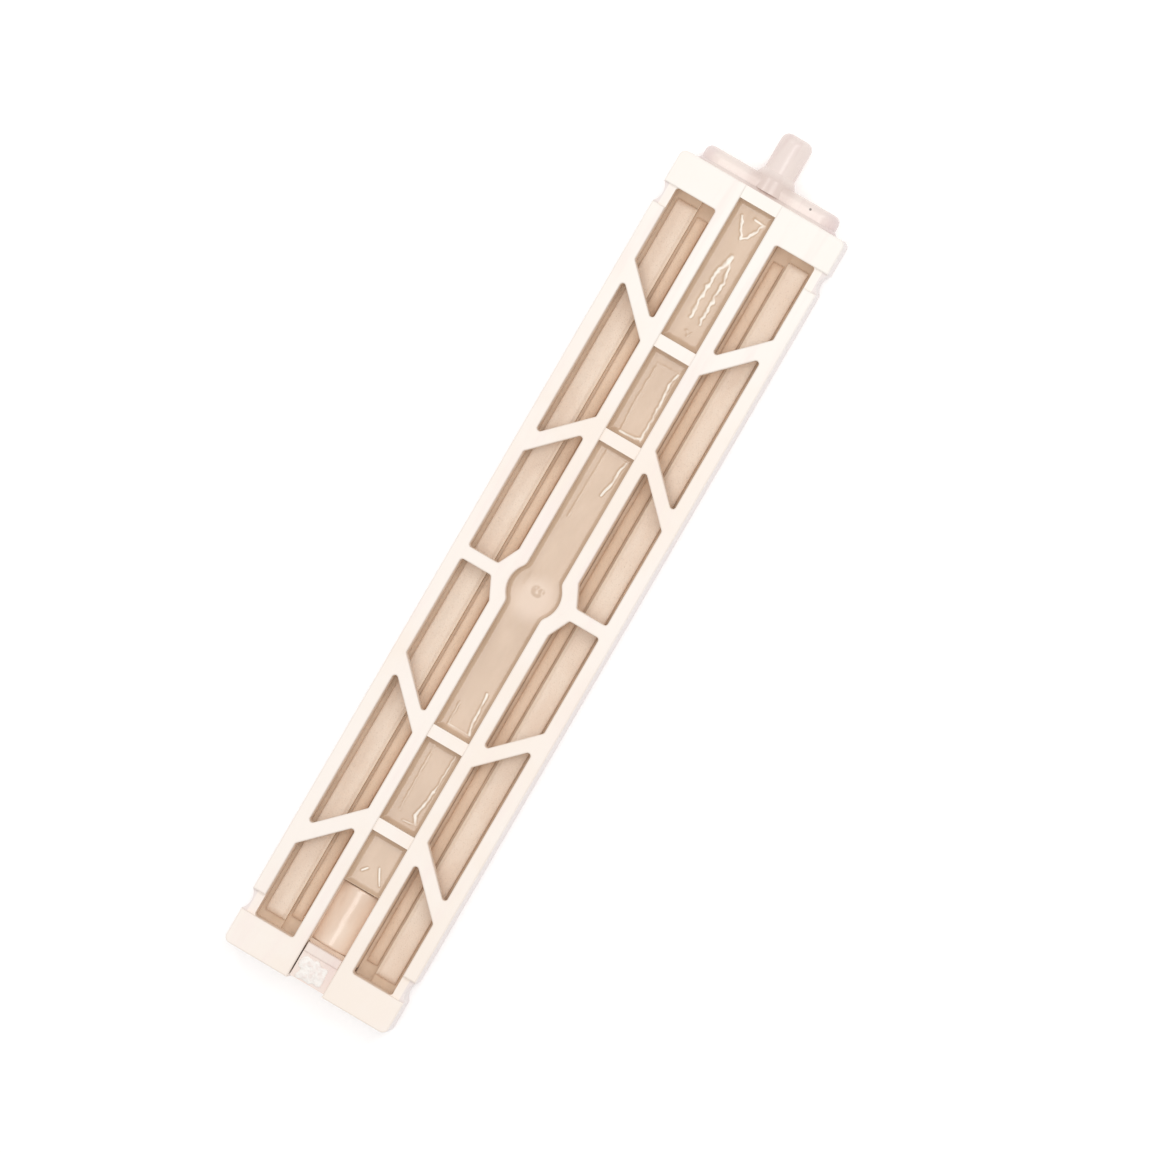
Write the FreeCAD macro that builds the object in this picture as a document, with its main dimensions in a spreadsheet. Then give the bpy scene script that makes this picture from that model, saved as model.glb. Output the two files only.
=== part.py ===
import FreeCAD, Part
import os
import Sketcher

# Caged bar air stone. Millimetres, X across, +Y towards the airline spigot, +Z up.
# The origin is the middle of the flat underside.

sizes = [
    # whole body
    ("BodyWidth", 27.7),
    ("BodyLength", 134.2),
    ("BodyHeight", 9.0),
    ("CornerRadius", 1.0),
    ("EdgeRadius", 0.24),
    ("FootRadius", 0.6),
    # lattice face
    ("FaceThickness", 2.6),
    ("RailWidth", 2.1),
    ("BarWidth", 2.05),
    ("ChannelHalf", 3.0),
    ("PadLength", 5.4),
    ("WindowRadius", 0.45),
    ("HalfStrut", 1.03),
    ("FirstWindowCorner", 49.5),
    ("MiddleWindowTip", 46.3),
    ("MiddleWindowFoot", 20.1),
    ("HubWindowCorner", 17.1),
    ("HubChamferX", 6.7),
    ("HubChamferY", 4.4),
    ("HubRadius", 4.15),
    ("HubBlend", 1.5),
    # crossbars and the lip at the spigot end
    ("CrossbarHalf", 1.0),
    ("CrossbarDrop", 0.45),
    ("OuterCrossbar", 41.0),
    ("InnerCrossbar", 25.1),
    ("LipLength", 2.0),
    ("LipDrop", 0.3),
    # scallops in both long sides
    ("NotchCentre", 60.0),
    ("NotchHalf", 1.7),
    ("NotchDepth", 0.65),
    ("NotchRadius", 2.4),
    ("NotchDrop", 0.7),
    # tray
    ("FloorThickness", 1.6),
    ("BlockSlotFloor", 2.0),
    # centre duct
    ("DuctGap", 0.1),
    ("DuctEnd", 61.0),
    ("DuctStart", 65.0),
    ("TroughFloor", 5.9),
    ("AirwayHalf", 2.2),
    ("AirwayFloor", 2.6),
    ("AirwayRoof", 5.0),
    ("PortRadius", 0.7),
    ("PortHeight", 3.3),
    ("PortPitch", 13.0),
    # potted cells
    ("SealRim", 6.95),
    ("SealDish", 0.35),
    ("SealRimWidth", 0.12),
    ("SealFillet", 0.32),
    ("LastSealEnd", 50.5),
    ("GateRadius", 0.85),
    ("GateTip", 0.45),
    ("GateHeight", 0.35),
    # plug and end block
    ("PlugHalf", 2.95),
    ("PlugRadius", 4.3),
    ("PlugAxis", 2.35),
    ("PlugStart", 50.6),
    ("PlugEnd", 60.4),
    ("BlockLeft", 2.8),
    ("BlockRight", 3.0),
    ("BlockStart", 61.0),
    ("BlockEnd", 66.6),
    ("BlockTop", 8.4),
    ("LedgeLength", 1.5),
    ("LedgeRise", 0.25),
    ("GlueThickness", 0.4),
    # porous strips and their beds
    ("BedTop", 3.2),
    ("BedStep", 4.0),
    ("OuterStoneInner", 7.75),
    ("OuterStoneOuter", 11.1),
    ("OuterStoneTop", 5.0),
    ("OuterStoneHalf", 60.4),
    ("OuterStoneBevel", 0.7),
    ("InnerStoneInner", 5.6),
    ("InnerStoneOuter", 7.35),
    ("InnerStoneTop", 4.2),
    ("InnerStoneHalf", 59.4),
    ("InnerStoneRound", 0.8),
    # inlet
    ("FlangeWidth", 22.6),
    ("FlangeHeight", 5.8),
    ("FlangeReach", 2.6),
    ("FlangeRadius", 1.1),
    ("InletAxis", 4.0),
    ("BondThickness", 0.5),
    ("BondFlare", 0.4),
    ("SpigotRadius", 2.5),
    ("SpigotLength", 7.2),
    ("SpigotTip", 1.25),
    ("SpigotBore", 1.1),
    ("StubRadius", 1.75),
    ("StubDepth", 2.5),
    ("CollarFoot", 3.5),
    ("CollarFront", 3.2),
    ("GussetNose", 2.52),
    ("GussetReach", 1.2),
]

doc = FreeCAD.newDocument("AirStone")
sheet = doc.addObject("Spreadsheet::Sheet", "Sizes")
for row, (alias, value) in enumerate(sizes, 1):
    sheet.set("A%d" % row, alias)
    sheet.set("B%d" % row, str(value))
    sheet.setAlias("B%d" % row, alias)
doc.recompute()

aliases = [name for name, value in sizes]
parts = []


def cell(text):
    # expression text with every alias read from the sheet
    words = []
    word = ""
    for letter in str(text) + " ":
        if letter.isalnum():
            word += letter
            continue
        words.append("Sizes." + word if word in aliases else word)
        words.append(letter)
        word = ""
    return "".join(words).strip()


def number(text):
    return float(sheet.evalExpression(str(text)))


def bind(feature, **rules):
    for name, text in rules.items():
        feature.setExpression(name, cell(text))


def new_body(label):
    body = doc.addObject("PartDesign::Body", label.title().replace("_", ""))
    body.Label = label
    parts.append(body)
    return body


def plane(body, role):
    for feature in body.Origin.OriginFeatures:
        if feature.Role == role:
            return feature


def attach(feature, body, role):
    feature.AttachmentSupport = [(plane(body, role), "")]
    feature.MapMode = "FlatFace"


def place(feature, x, y, z):
    feature.setExpression("AttachmentOffset.Base.x", cell(x))
    feature.setExpression("AttachmentOffset.Base.y", cell(y))
    feature.setExpression("AttachmentOffset.Base.z", cell(z))


def block(body, kind, name, across, along, up):
    # box between (low, high) pairs in X, Y and Z
    box = body.newObject("PartDesign::%sBox" % kind, name)
    attach(box, body, "XY_Plane")
    place(box, across[0], along[0], up[0])
    bind(
        box,
        Length="(%s) - (%s)" % (across[1], across[0]),
        Width="(%s) - (%s)" % (along[1], along[0]),
        Height="(%s) - (%s)" % (up[1], up[0]),
    )
    return box


def post(body, kind, name, radius, centre, up):
    # upright cylinder
    rod = body.newObject("PartDesign::%sCylinder" % kind, name)
    attach(rod, body, "XY_Plane")
    place(rod, centre[0], centre[1], up[0])
    bind(rod, Radius=radius, Height="(%s) - (%s)" % (up[1], up[0]))
    return rod


def bar(body, kind, name, radius, centre, along):
    # cylinder lying along Y, centre given as (x, z)
    rod = body.newObject("PartDesign::%sCylinder" % kind, name)
    attach(rod, body, "XZ_Plane")
    place(rod, centre[0], centre[1], "-1 * (%s)" % along[1])
    bind(rod, Radius=radius, Height="(%s) - (%s)" % (along[1], along[0]))
    return rod


def closed_outline(sketch, corners):
    # polygon whose corners follow (x, y) expressions
    spots = [FreeCAD.Vector(number(x), number(y), 0) for x, y in corners]
    first = sketch.GeometryCount
    count = len(spots)
    for step in range(count):
        line = Part.LineSegment(spots[step], spots[(step + 1) % count])
        sketch.addGeometry(line, False)
    for step in range(count):
        after = first + (step + 1) % count
        sketch.addConstraint(Sketcher.Constraint("Coincident", first + step, 2, after, 1))
    for step, (x, y) in enumerate(corners):
        for kind, text, seen in (("DistanceX", x, spots[step].x), ("DistanceY", y, spots[step].y)):
            rule = Sketcher.Constraint(kind, -1, 1, first + step, 1, seen)
            index = sketch.addConstraint(rule)
            sketch.setExpression("Constraints[%d]" % index, cell(text))


def new_sketch(body, name, role, level):
    sketch = body.newObject("Sketcher::SketchObject", name)
    attach(sketch, body, role)
    sketch.setExpression("AttachmentOffset.Base.z", cell(level))
    return sketch


def settle(body):
    # works out only this body's own waiting features
    for feature in body.Group:
        if "Touched" in feature.State:
            feature.recompute()
            feature.purgeTouched()


def edges_where(body, test):
    settle(body)
    tip = body.Tip
    names = []
    for index, edge in enumerate(tip.Shape.Edges, 1):
        if test(edge):
            names.append("Edge%d" % index)
    return tip, names


def soften(body, name, size_name, test, kind="Fillet"):
    tip, names = edges_where(body, test)
    feature = body.newObject("PartDesign::" + kind, name)
    feature.Base = (tip, names)
    key = "Radius" if kind == "Fillet" else "Size"
    feature.setExpression(key, cell(size_name))
    body.Tip = feature
    return feature


def upright(edge):
    low, high = edge.Vertexes[0].Point, edge.Vertexes[-1].Point
    return abs(low.x - high.x) < 1e-4 and abs(low.y - high.y) < 1e-4 and abs(low.z - high.z) > 1e-3


def at_level(edge, level):
    return abs(edge.BoundBox.ZMin - level) < 1e-4 and abs(edge.BoundBox.ZMax - level) < 1e-4


def face_bottom():
    return "BodyHeight - FaceThickness"


def scallops(body, low, high):
    # rounded bites out of the long sides, two on each side
    for side in (1, -1):
        for end in (1, -1):
            name = "%sScallop%d%d" % (body.Name, side + 1, end + 1)
            x = "%d * (BodyWidth / 2 - NotchDepth + NotchRadius)" % side
            y = "%d * NotchCentre" % end
            post(body, "Subtractive", name, "NotchRadius", (x, y), (low, high))


def outer_block(body, low, high):
    name = body.Name + "Outline"
    across = ("-BodyWidth / 2", "BodyWidth / 2")
    along = ("-BodyLength / 2", "BodyLength / 2")
    block(body, "Additive", name, across, along, (low, high))
    soften(body, body.Name + "Corners", "CornerRadius", upright)


def window_corners(side, end):
    # three windows of one quarter: end window, middle window, hub window
    inner = "(ChannelHalf + BarWidth)"
    outer = "(BodyWidth / 2 - RailWidth)"
    slant = "(BodyWidth / 2 - RailWidth - ChannelHalf - BarWidth)"
    top = "(BodyLength / 2 - PadLength)"
    first = [
        (outer, top),
        (inner, top),
        (inner, "FirstWindowCorner - " + slant),
        (outer, "FirstWindowCorner"),
    ]
    middle = [
        (outer, "MiddleWindowTip"),
        (inner, "MiddleWindowTip - " + slant),
        (inner, "MiddleWindowFoot + " + slant),
        (outer, "MiddleWindowFoot"),
    ]
    hub = [
        (outer, "HubWindowCorner"),
        (inner, "HubWindowCorner + " + slant),
        (inner, "HubChamferY"),
        ("HubChamferX", "HalfStrut"),
        (outer, "HalfStrut"),
    ]
    turned = []
    for corners in (first, middle, hub):
        turned.append([("%d * (%s)" % (side, x), "%d * (%s)" % (end, y)) for x, y in corners])
    return turned


def cut_windows(body):
    for side in (1, -1):
        for end in (1, -1):
            tag = "%d%d" % (side + 1, end + 1)
            sketch = new_sketch(body, "Windows" + tag, "XY_Plane", "BodyHeight")
            for corners in window_corners(side, end):
                closed_outline(sketch, corners)
            pocket = body.newObject("PartDesign::Pocket", "WindowPocket" + tag)
            pocket.Profile = sketch
            pocket.setExpression("Length", cell("FaceThickness + 1"))


def in_window_corner(edge):
    if not upright(edge) or abs(edge.BoundBox.ZMin - number(face_bottom())) > 1e-4:
        return False
    x, y = abs(edge.Vertexes[0].X), abs(edge.Vertexes[0].Y)
    inner = number("ChannelHalf + BarWidth") - 1e-3
    outer = number("BodyWidth / 2 - RailWidth") + 1e-3
    top = number("BodyLength / 2 - PadLength") + 1e-3
    return inner < x < outer and y < top


def at_hub_shoulder(edge, half_width):
    if not upright(edge):
        return False
    x, y = abs(edge.Vertexes[0].X), abs(edge.Vertexes[0].Y)
    return abs(x - half_width) < 1e-3 and 0.5 < y < number("HubRadius")


def make_lattice_cover():
    body = new_body("lattice_cover")
    low, high = face_bottom(), "BodyHeight"
    outer_block(body, low, high)
    channel = ("-ChannelHalf", "ChannelHalf")
    over = ("BodyHeight - FaceThickness - 1", "BodyHeight + 1")
    for index, (near, far) in enumerate(channel_cells(), 1):
        block(body, "Subtractive", "CellCut%d" % index, channel, (near, far), over)
    lip = "BodyLength / 2 - LipLength"
    sunk = ("BodyHeight - CrossbarDrop", "BodyHeight + 1")
    block(body, "Subtractive", "CrossbarDip", channel, ("-BodyLength / 2 - 1", lip), sunk)
    sunk = ("BodyHeight - LipDrop", "BodyHeight + 1")
    block(body, "Subtractive", "LipDip", channel, (lip, "BodyLength / 2 + 1"), sunk)
    post(body, "Subtractive", "HubCut", "HubRadius", ("0", "0"), over)
    half = number("ChannelHalf")
    soften(body, "HubShoulders", "HubBlend", lambda edge: at_hub_shoulder(edge, half))
    scallops(body, low, high)
    for side in (1, -1):
        for end in (1, -1):
            name = "NotchDip%d%d" % (side + 1, end + 1)
            near, far = "BodyWidth / 2 - RailWidth - WindowRadius - 0.1", "BodyWidth / 2 + 1"
            across = (near, far) if side > 0 else ("-(%s)" % far, "-(%s)" % near)
            near, far = "NotchCentre - NotchHalf", "NotchCentre + NotchHalf"
            along = (near, far) if end > 0 else ("-(%s)" % far, "-(%s)" % near)
            block(body, "Subtractive", name, across, along, ("BodyHeight - NotchDrop", "BodyHeight + 1"))
    cut_windows(body)
    soften(body, "WindowCorners", "WindowRadius", in_window_corner)
    top = number("BodyHeight")
    soften(body, "FaceEdges", "EdgeRadius", lambda edge: at_level(edge, top))
    return body


def make_base_tray():
    body = new_body("base_tray")
    outer_block(body, "0", face_bottom())
    wall = "(BodyWidth / 2 - RailWidth)"
    end = "(BodyLength / 2 - PadLength)"
    up = ("FloorThickness", "BodyHeight")
    block(body, "Subtractive", "Cavity", ("-" + wall, wall), ("-" + end, end), up)
    duct = "(ChannelHalf + BarWidth)"
    start = (end + " - 1", "BodyLength / 2 - LipLength")
    block(body, "Subtractive", "DuctSlot", ("-" + duct, duct), start, up)
    finish = ("-BodyLength / 2 - 1", "-%s + 1" % end)
    floor = ("BlockSlotFloor", "BodyHeight")
    block(body, "Subtractive", "BlockSlot", ("-ChannelHalf", "ChannelHalf"), finish, floor)
    through = ("BodyLength / 2 - LipLength - 1", "BodyLength / 2 + 1")
    bar(body, "Subtractive", "InletHole", "StubRadius", ("0", "InletAxis"), through)
    scallops(body, "-1", "BodyHeight")
    soften(body, "FootEdges", "FootRadius", lambda edge: at_level(edge, 0.0))
    return body


def make_air_duct():
    body = new_body("air_duct")
    half = "(ChannelHalf + BarWidth - DuctGap)"
    along = ("-DuctEnd", "DuctStart")
    block(body, "Additive", "DuctSolid", ("-" + half, half), along, ("FloorThickness", face_bottom()))
    trough = ("TroughFloor", "BodyHeight")
    whole = ("-DuctEnd - 1", "DuctStart + 1")
    block(body, "Subtractive", "Trough", ("-ChannelHalf", "ChannelHalf"), whole, trough)
    post(body, "Subtractive", "HubTrough", "HubRadius", ("0", "0"), trough)
    airway = ("-LastSealEnd + 1", "DuctStart - StubDepth")
    inside = ("AirwayFloor", "AirwayRoof")
    block(body, "Subtractive", "Airway", ("-AirwayHalf", "AirwayHalf"), airway, inside)
    socket = ("DuctStart - StubDepth - 0.5", "DuctStart + 1")
    bar(body, "Subtractive", "InletSocket", "StubRadius", ("0", "InletAxis"), socket)
    seat = ("-PlugEnd - 0.05", "-LastSealEnd")
    block(body, "Subtractive", "PlugSeat", ("-PlugHalf", "PlugHalf"), seat, ("AirwayFloor", "BodyHeight"))
    for step in range(-3, 5):
        port = body.newObject("PartDesign::SubtractiveCylinder", "FeedPort%d" % (step + 3))
        attach(port, body, "YZ_Plane")
        place(port, "%d * PortPitch" % step, "PortHeight", "-" + half + " - 1")
        bind(port, Radius="PortRadius", Height="2 * %s + 2" % half)
    return body


def make_channel_seal(index, low, high):
    body = new_body("channel_seal_%d" % index)
    channel = ("-ChannelHalf", "ChannelHalf")
    block(body, "Additive", "Seal%d" % index, channel, (low, high), ("TroughFloor", "SealRim"))
    dish = ("SealRim - SealDish", "SealRim + 1")
    rim = "(ChannelHalf - SealRimWidth)"
    inside = (low + " + SealRimWidth", high + " - SealRimWidth")
    if index == 3:
        post(body, "Additive", "HubSeal", "HubRadius", ("0", "0"), ("TroughFloor", "SealRim"))
        half = number("ChannelHalf")
        soften(body, "SealShoulders", "HubBlend", lambda edge: at_hub_shoulder(edge, half))
    block(body, "Subtractive", "SealDish%d" % index, ("-" + rim, rim), inside, dish)
    if index == 3:
        post(body, "Subtractive", "HubDish", "HubRadius - SealRimWidth", ("0", "0"), dish)
        half = number("ChannelHalf - SealRimWidth")
        soften(body, "DishShoulders", "HubBlend + SealRimWidth", lambda edge: at_hub_shoulder(edge, half))
    level = number("SealRim - SealDish")
    soften(body, "Meniscus%d" % index, "SealFillet", lambda edge: at_level(edge, level))
    if index == 3:
        nipple = body.newObject("PartDesign::AdditiveCone", "GateMark")
        attach(nipple, body, "XY_Plane")
        place(nipple, "0.3", "0.2", "SealRim - SealDish")
        bind(nipple, Radius1="GateRadius", Radius2="GateTip", Height="GateHeight")
    return body


def make_duct_plug():
    body = new_body("duct_plug")
    along = ("-PlugEnd", "-PlugStart")
    bar(body, "Additive", "PlugRound", "PlugRadius", ("0", "PlugAxis"), along)
    below = ("PlugAxis - PlugRadius - 1", "AirwayFloor")
    wide = ("-PlugRadius - 1", "PlugRadius + 1")
    past = ("-PlugEnd - 1", "-PlugStart + 1")
    whole = ("PlugAxis - PlugRadius - 1", "PlugAxis + PlugRadius + 1")
    block(body, "Subtractive", "PlugFlat", wide, past, below)
    block(body, "Subtractive", "PlugLeft", ("-PlugRadius - 1", "-PlugHalf"), past, whole)
    block(body, "Subtractive", "PlugRight", ("PlugHalf", "PlugRadius + 1"), past, whole)
    return body


def make_end_block():
    body = new_body("end_block")
    across = ("-BlockLeft", "BlockRight")
    along = ("-BlockEnd", "-BlockStart")
    block(body, "Additive", "BlockSolid", across, along, ("BlockSlotFloor", "BlockTop"))
    ledge = ("-BlockStart - LedgeLength", "-BlockStart")
    block(body, "Additive", "BlockLedge", across, ledge, ("BlockTop - 0.5", "BlockTop + LedgeRise"))
    high = number("BlockTop + LedgeRise")
    soften(body, "BlockEdges", "EdgeRadius", lambda edge: at_level(edge, high))
    return body


def make_end_glue():
    # uneven dab; corners are fractions of the block's half width and length
    body = new_body("end_glue")
    outline = [(-0.92, 0.0), (-0.55, 0.08), (-0.88, 0.34), (-0.5, 0.42), (-0.86, 0.72)]
    outline += [(-0.42, 0.9), (-0.05, 0.78), (0.22, 0.96), (0.62, 0.74), (0.5, 0.4)]
    outline += [(0.74, 0.16), (0.4, 0.03)]
    sketch = new_sketch(body, "GlueOutline", "XY_Plane", "BlockTop")
    room = "(BlockEnd - BlockStart - LedgeLength - 0.15)"
    corners = []
    for x, y in outline:
        corners.append(("%g * BlockLeft" % x, "-BlockEnd + 0.05 + %g * %s" % (y, room)))
    closed_outline(sketch, corners)
    pad = body.newObject("PartDesign::Pad", "GlueDab")
    pad.Profile = sketch
    pad.setExpression("Length", cell("GlueThickness"))
    return body


def strip(label, section, half, side):
    body = new_body(label)
    sketch = new_sketch(body, label.title().replace("_", "") + "Section", "XZ_Plane", "0")
    closed_outline(sketch, [("%d * (%s)" % (side, x), z) for x, z in section])
    pad = body.newObject("PartDesign::Pad", label.title().replace("_", "") + "Run")
    pad.Profile = sketch
    pad.Midplane = True
    pad.setExpression("Length", cell("2 * " + half))
    return body


def side_name(side):
    return "right" if side > 0 else "left"


def make_outer_stone(side):
    inner, outer, top = "OuterStoneInner", "OuterStoneOuter", "OuterStoneTop"
    section = [
        (inner, "BedStep"),
        (outer, "BedStep"),
        (outer, top),
        (inner + " + OuterStoneBevel", top),
        (inner, top + " - OuterStoneBevel"),
    ]
    body = strip("outer_stone_" + side_name(side), section, "OuterStoneHalf", side)
    level = number("OuterStoneTop")
    reach = number("OuterStoneHalf")
    test = lambda edge: at_level(edge, level) and abs(abs(edge.CenterOfMass.y) - reach) < 1e-3
    soften(body, "OuterStoneEnds%d" % (side + 1), "OuterStoneBevel", test, "Chamfer")
    return body


def make_inner_stone(side):
    inner, outer, top = "InnerStoneInner", "InnerStoneOuter", "InnerStoneTop"
    section = [(inner, "BedTop"), (outer, "BedTop"), (outer, top), (inner, top)]
    body = strip("inner_stone_" + side_name(side), section, "InnerStoneHalf", side)
    level = number("InnerStoneTop")
    soften(body, "InnerStoneRound%d" % (side + 1), "InnerStoneRound", lambda edge: at_level(edge, level))
    return body


def make_stone_bed(side):
    body = new_body("stone_bed_" + side_name(side))
    near, far = "ChannelHalf + BarWidth", "BodyWidth / 2 - RailWidth"
    across = (near, far) if side > 0 else ("-(%s)" % far, "-(%s)" % near)
    end = "(BodyLength / 2 - PadLength)"
    block(body, "Additive", "Bed%d" % (side + 1), across, ("-" + end, end), ("FloorThickness", "BedTop"))
    near = "OuterStoneInner"
    across = (near, far) if side > 0 else ("-(%s)" % far, "-(%s)" % near)
    step = ("FloorThickness", "BedStep")
    block(body, "Additive", "BedLedge%d" % (side + 1), across, ("-" + end, end), step)
    return body


def obround(body, tag, width, height, along):
    # flat-sided oval lying in the XZ plane
    run = "(%s) / 2 - (%s) / 2" % (width, height)
    up = ("InletAxis - (%s) / 2" % height, "InletAxis + (%s) / 2" % height)
    block(body, "Additive", tag + "Middle", ("-(%s)" % run, run), along, up)
    for side in (1, -1):
        name = "%sEnd%d" % (tag, side + 1)
        bar(body, "Additive", name, "(%s) / 2" % height, ("%d * (%s)" % (side, run), "InletAxis"), along)


def make_flange_bond():
    body = new_body("flange_bond")
    along = ("BodyLength / 2", "BodyLength / 2 + BondThickness")
    wide, tall = "FlangeWidth + 2 * BondFlare", "FlangeHeight + 2 * BondFlare"
    obround(body, "Bond", wide, tall, along)
    reach = number("BodyLength / 2 + BondThickness")
    soften(body, "BondSlope", "BondFlare", lambda edge: facing(edge, reach), "Chamfer")
    over = ("BodyLength / 2 - 1", "BodyLength / 2 + BondThickness + 1")
    bar(body, "Subtractive", "BondHole", "StubRadius", ("0", "InletAxis"), over)
    return body


def facing(edge, reach):
    return abs(edge.BoundBox.YMin - reach) < 1e-4 and abs(edge.BoundBox.YMax - reach) < 1e-4


def taper(body, name, radii, along):
    # cone on the inlet's axis, radii given at the low and the high end in Y
    cone = body.newObject("PartDesign::AdditiveCone", name)
    attach(cone, body, "XZ_Plane")
    place(cone, "0", "InletAxis", "-1 * (%s)" % along[1])
    bind(cone, Radius1=radii[1], Radius2=radii[0], Height="(%s) - (%s)" % (along[1], along[0]))


def make_inlet_manifold():
    body = new_body("inlet_manifold")
    back = "BodyLength / 2 + BondThickness"
    front = back + " + FlangeReach - BondThickness"
    obround(body, "Flange", "FlangeWidth", "FlangeHeight", (back, front))
    reach = number(front)
    soften(body, "FlangeEdge", "FlangeRadius", lambda edge: facing(edge, reach))
    tip = front + " + SpigotLength"
    bar(body, "Additive", "Spigot", "SpigotRadius", ("0", "InletAxis"), (back, tip))
    end = number(tip)
    soften(body, "SpigotTip", "SpigotTip", lambda edge: facing(edge, end))
    taper(body, "Gusset", ("CollarFront", "GussetNose"), (front, front + " + GussetReach"))
    taper(body, "Collar", ("CollarFoot", "CollarFront"), (back, front))
    stub = "BodyLength / 2 - LipLength - StubDepth"
    bar(body, "Additive", "Stub", "StubRadius", ("0", "InletAxis"), (stub, back + " + 1"))
    bar(body, "Subtractive", "Bore", "SpigotBore", ("0", "InletAxis"), (stub + " - 1", tip + " + 1"))
    return body


def channel_cells():
    # the five openings between the crossbars, as (low, high) in Y, from the spigot end
    cross, inner, half = "OuterCrossbar", "InnerCrossbar", "CrossbarHalf"
    return [
        ("%s + %s" % (cross, half), "BodyLength / 2 - LipLength"),
        ("%s + %s" % (inner, half), "%s - %s" % (cross, half)),
        ("-%s + %s" % (inner, half), "%s - %s" % (inner, half)),
        ("-%s + %s" % (cross, half), "-%s - %s" % (inner, half)),
        ("-BodyLength / 2 - 1", "-%s - %s" % (cross, half)),
    ]


def export_all():
    os.makedirs("parts", exist_ok=True)
    for thing in doc.Objects:
        if "Invalid" in thing.State or "Error" in thing.State:
            raise RuntimeError("%s did not build" % thing.Name)
    for body in parts:
        if body.Shape.isNull() or not body.Shape.isValid():
            raise RuntimeError("%s has no valid shape" % body.Label)
        body.Shape.exportStep("parts/%s.step" % body.Label)
        reach = body.Shape.BoundBox
        print(
            "%-18s %8.1f mm3  solids %d  X %.2f..%.2f  Y %.2f..%.2f  Z %.2f..%.2f"
            % (body.Label, body.Shape.Volume, len(body.Shape.Solids),
               reach.XMin, reach.XMax, reach.YMin, reach.YMax, reach.ZMin, reach.ZMax)
        )


make_lattice_cover()
make_base_tray()
make_inlet_manifold()
make_flange_bond()
make_air_duct()
for index, (low_end, high_end) in enumerate(channel_cells(), 1):
    make_channel_seal(index, "-LastSealEnd" if index == 5 else low_end, high_end)
make_duct_plug()
make_end_block()
make_end_glue()
for hand in (1, -1):
    make_outer_stone(hand)
    make_inner_stone(hand)
    make_stone_bed(hand)
doc.recompute()
export_all()
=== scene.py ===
import math
import bpy
import bmesh
from mathutils import Matrix, Vector, noise


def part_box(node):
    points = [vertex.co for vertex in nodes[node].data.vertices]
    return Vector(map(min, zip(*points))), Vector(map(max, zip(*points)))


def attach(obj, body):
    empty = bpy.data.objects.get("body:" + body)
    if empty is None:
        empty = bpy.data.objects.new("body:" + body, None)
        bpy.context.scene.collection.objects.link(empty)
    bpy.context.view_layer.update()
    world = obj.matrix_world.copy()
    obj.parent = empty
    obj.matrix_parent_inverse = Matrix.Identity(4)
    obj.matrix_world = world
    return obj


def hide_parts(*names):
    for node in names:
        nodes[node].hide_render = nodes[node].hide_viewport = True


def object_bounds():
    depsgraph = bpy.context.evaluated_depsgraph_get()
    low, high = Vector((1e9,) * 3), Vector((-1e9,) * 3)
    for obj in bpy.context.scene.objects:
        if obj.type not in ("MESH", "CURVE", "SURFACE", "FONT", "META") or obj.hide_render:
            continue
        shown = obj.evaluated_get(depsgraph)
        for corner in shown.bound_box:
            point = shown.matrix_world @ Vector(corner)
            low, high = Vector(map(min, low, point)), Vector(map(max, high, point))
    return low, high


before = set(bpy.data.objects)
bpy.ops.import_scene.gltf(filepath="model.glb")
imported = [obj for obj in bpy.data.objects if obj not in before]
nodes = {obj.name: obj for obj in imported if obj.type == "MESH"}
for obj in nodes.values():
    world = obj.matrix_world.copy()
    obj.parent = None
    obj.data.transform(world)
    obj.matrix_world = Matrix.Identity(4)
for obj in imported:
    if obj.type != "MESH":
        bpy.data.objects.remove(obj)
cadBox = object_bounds()
mm = 0.001
print("frame loaded")


# a socket that does maths
class Wire:
    def __init__(self, tree, socket):
        self.tree = tree
        self.socket = socket

    def maths(self, operation, *terms):
        made = self.tree.nodes.new("ShaderNodeMath")
        made.operation = operation
        for place, term in zip(made.inputs, terms):
            feed(self.tree, place, term)
        return Wire(self.tree, made.outputs[0])

    def __add__(self, other):
        return self.maths("ADD", self, other)

    def __radd__(self, other):
        return self.maths("ADD", other, self)

    def __sub__(self, other):
        return self.maths("SUBTRACT", self, other)

    def __rsub__(self, other):
        return self.maths("SUBTRACT", other, self)

    def __mul__(self, other):
        return self.maths("MULTIPLY", self, other)

    def __rmul__(self, other):
        return self.maths("MULTIPLY", other, self)

    def __pow__(self, other):
        return self.maths("POWER", self, other)

    def __abs__(self):
        return self.maths("ABSOLUTE", self)


def feed(tree, place, term):
    if isinstance(term, Wire):
        tree.links.new(term.socket, place)
    elif hasattr(term, "__len__") and len(term) == 3 and len(place.default_value) == 4:
        place.default_value = (*term, 1.0)
    else:
        place.default_value = term


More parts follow.
